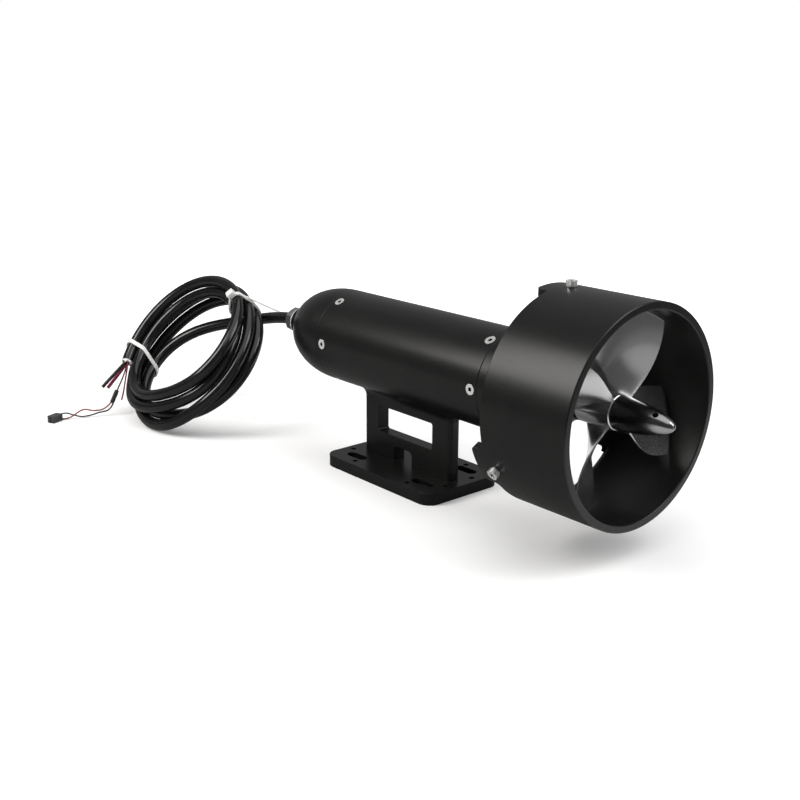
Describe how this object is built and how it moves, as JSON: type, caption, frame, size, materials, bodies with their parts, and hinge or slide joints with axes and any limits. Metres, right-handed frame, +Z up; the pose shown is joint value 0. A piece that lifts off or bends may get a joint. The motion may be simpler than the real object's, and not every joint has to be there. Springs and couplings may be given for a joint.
{
  "type": "underwater thruster",
  "caption": "Ducted underwater thruster: a sealed motor barrel with a domed end, a screw propeller in a round duct, a slotted pedestal mount and a tied coil of cable.",
  "frame": {"origin": "centre of the base plate's underside", "axes": "+X along the thruster axis towards the outlet, +Z up"},
  "size_m": [0.5239, 0.2248, 0.1674],
  "materials": {
    "anodised_black": "satin black anodised",
    "stainless": "bright machined",
    "bearing_steel": "ground",
    "nickel_grey": "satin nickel plate",
    "bright_steel": "polished",
    "seal_rubber": "matt",
    "motor_grey": "satin",
    "stator_iron": "varnished",
    "board_green": "solder mask",
    "gunmetal": "satin gunmetal",
    "cone_metal": "polished dark metal",
    "cable_black": "glossy jacket",
    "tie_nylon": "translucent white nylon",
    "wire_black": "insulation",
    "wire_red": "insulation",
    "sleeve_black": "heat-shrink",
    "connector_black": "moulded"
  },
  "bodies": {
    "housing": {"barrel_tube": "anodised_black", "rear_dome": "anodised_black", "front_cover": "anodised_black", "rear_barrel_screws": "stainless", "front_barrel_screws": "stainless", "rear_seal_ring": "seal_rubber", "front_seal_ring": "seal_rubber", "strut_1": "anodised_black", "strut_2": "anodised_black", "strut_3": "anodised_black", "strut_screws": "stainless", "duct": "anodised_black", "duct_screws": "stainless", "pedestal": "anodised_black", "saddle_screws": "stainless", "base_plate": "anodised_black", "base_screws": "stainless", "gland_tail": "nickel_grey", "gland_lock_nut": "stainless", "gland_washer": "bright_steel", "gland_nut": "nickel_grey", "gland_seal": "seal_rubber", "motor_case": "motor_grey", "stator": "stator_iron", "rear_bearing": "bearing_steel", "front_bearing": "bearing_steel", "shaft_seal": "seal_rubber", "board_posts": "stainless", "controller_board": "board_green", "cable_lead": "cable_black", "cable_coil": "cable_black", "upper_tie": "tie_nylon", "left_tie": "tie_nylon", "black_lead": "wire_black", "red_lead": "wire_red", "spare_wire": "wire_red", "signal_stub": "wire_black", "sleeve": "sleeve_black", "signal_wire_a": "wire_red", "signal_wire_b": "wire_black", "connector": "connector_black"},
    "rotor": {"shaft": "stainless", "rotor_core": "motor_grey", "thrust_collar": "stainless", "drive_pin": "stainless", "propeller": "gunmetal", "cone_nut": "cone_metal"}
  },
  "joints": [
    {"name": "propeller_spin", "type": "hinge", "parent": "housing", "child": "rotor", "pos_m": [0.17, 0, 0.093], "axis": [1, 0, 0], "continuous": true}
  ]
}
